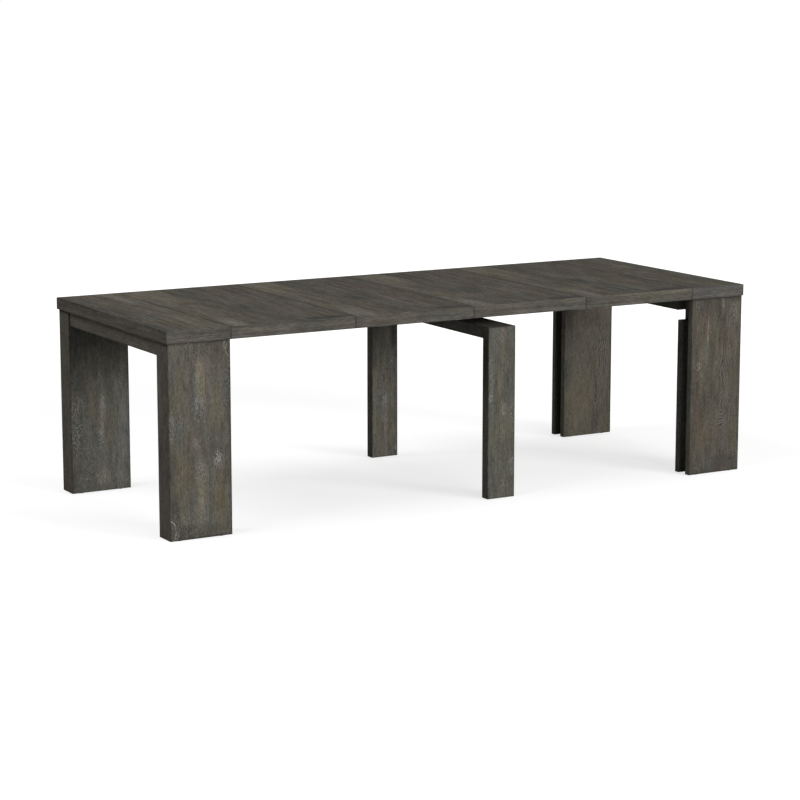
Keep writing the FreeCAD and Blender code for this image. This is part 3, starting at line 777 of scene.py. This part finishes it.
def dress_table():
    """Gives every CAD node its finish."""
    looks = {"left_front": left_front_look, "left_back": left_back_look}
    looks.update({"right_front": right_front_look, "right_back": right_back_look})
    seed = 1
    for end in ("left", "right"):
        for side in ("front", "back"):
            corner = end + "_" + side
            leg = corner + "_leg_"
            face, other = ("outer", "inner") if side == "front" else ("inner", "outer")
            oak_board(leg + face + "_board", "Z", seed, looks[corner], True)
            oak_board(leg + other + "_board", "Z", seed + 1, other_look(seed + 1), True)
            oak_board(leg + "end_board", "Z", seed + 2, side_look(seed + 2, end_board_tone), True)
            seed += 3
        oak_board(end + "_apron", "Y", seed, side_look(seed, apron_tone))
        oak_board(end + "_inner_rail", "Y", seed + 1, side_look(seed + 1, rail_tone, 0.0, rail_cast))
        seed += 2
    oak_board("middle_front_leg", "Z", seed, middle_front_look)
    oak_board("middle_back_leg", "Z", seed + 1, middle_back_look)
    crossbar_look = side_look(seed + 2, crossbar_tone, crossbar_warmth, rail_cast)
    oak_board("middle_crossbar", "Y", seed + 2, crossbar_look)

    oak_slab("left_end_top", 1, left_end_look)
    for number in range(1, 5):
        oak_slab("leaf_%d_panel" % number, 1 + number, leaf_look)
    oak_slab("right_end_top", 7, right_end_look)

    metal = slide_aluminium()
    finishes = {"bearer": bearer_wood(),
                "seats": zinc_steel("seat_steel", 0.35),
                "brackets": zinc_steel("bracket_steel", 0.30),
                "screws": zinc_steel("screw_steel", 0.25),
                "glides": glide_nylon(),
                "dowels": dowel_beech()}
    for name in sorted(cad_nodes):
        if name.startswith("slide_"):
            dress([name], metal)
        last_word = name.split("_")[-1]
        if last_word in finishes:
            dress([name], finishes[last_word])


def seen_directly(graph):
    """1 for camera, glossy and transmission rays, and 0 for the rays that light the object."""
    path = graph.add("ShaderNodeLightPath").outputs
    seen = graph.math("MAXIMUM", path["Is Camera Ray"], path["Is Glossy Ray"])
    return graph.math("MAXIMUM", seen, path["Is Transmission Ray"])


def make_floor():
    """A plain pale floor that keeps the table's shadow and runs out to white."""
    half = floor_size / 2
    mesh = bpy.data.meshes.new("studio_floor")
    corners = [(-half, -half, 0.0), (half, -half, 0.0), (half, half, 0.0), (-half, half, 0.0)]
    mesh.from_pydata(corners, [], [(0, 1, 2, 3)])
    floor = bpy.data.objects.new("studio_floor", mesh)
    bpy.context.collection.objects.link(floor)

    material, graph = new_material("floor_white")
    place = graph.add("ShaderNodeTexCoord").outputs["Object"]
    distance = graph.add("ShaderNodeVectorMath", {0: place}, operation="LENGTH").outputs["Value"]
    level = graph.step(distance, floor_near, floor_far, floor_glow, 1.0)
    level = graph.math("MULTIPLY", level, seen_directly(graph))
    paint = graph.add("ShaderNodeBsdfDiffuse", {"Color": floor_paint})
    glow = graph.add("ShaderNodeEmission", {"Color": white, "Strength": level})
    mixed = graph.add("ShaderNodeAddShader", {0: paint.outputs[0], 1: glow.outputs[0]})
    output = graph.add("ShaderNodeOutputMaterial")
    graph.put(output.inputs["Surface"], mixed.outputs[0])
    mesh.materials.append(material)


def make_world():
    """Even ambient light, with a white background."""
    world = bpy.data.worlds.new("studio")
    world.use_nodes = True
    world.node_tree.nodes.clear()
    graph = Graph(world.node_tree)
    strength = graph.step(seen_directly(graph), 0.0, 1.0, ambient_level, 1.0)
    light = graph.add("ShaderNodeBackground", {"Color": white, "Strength": strength})
    output = graph.add("ShaderNodeOutputWorld")
    graph.put(output.inputs["Surface"], light.outputs[0])
    bpy.context.scene.world = world


def softbox(name, place, target, width, height, power):
    lamp = bpy.data.lights.new(name, "AREA")
    lamp.shape = "RECTANGLE"
    lamp.size = width
    lamp.size_y = height
    lamp.energy = power
    box = bpy.data.objects.new(name, lamp)
    box.location = place
    box.rotation_mode = "QUATERNION"
    box.rotation_quaternion = (Vector(target) - Vector(place)).to_track_quat("-Z", "Y")
    bpy.context.collection.objects.link(box)


def make_lights():
    """Large soft lights, all facing the middle of the table."""
    for name, turn, rise, away, width, height, power in lights:
        turn = math.radians(turn)
        rise = math.radians(rise)
        side = away * math.cos(rise)
        place = (side * math.cos(turn), side * math.sin(turn), aim_height + away * math.sin(rise))
        softbox(name, place, (0.0, 0.0, aim_height), width, height, power)


def make_camera():
    data = bpy.data.cameras.new("photo_camera")
    data.sensor_width = sensor_width
    data.lens = focal_length
    data.clip_end = floor_size
    camera = bpy.data.objects.new("photo_camera", data)
    yaw = math.radians(camera_yaw)
    pitch = math.radians(camera_pitch)
    forward = Vector((-math.sin(yaw) * math.cos(pitch), math.cos(yaw) * math.cos(pitch), math.sin(pitch)))
    camera.location = camera_place
    camera.rotation_mode = "QUATERNION"
    camera.rotation_quaternion = forward.to_track_quat("-Z", "Y")
    bpy.context.collection.objects.link(camera)
    bpy.context.scene.camera = camera


dress_table()
make_floor()
make_world()
make_lights()
make_camera()
bpy.context.scene.view_settings.view_transform = "Standard"
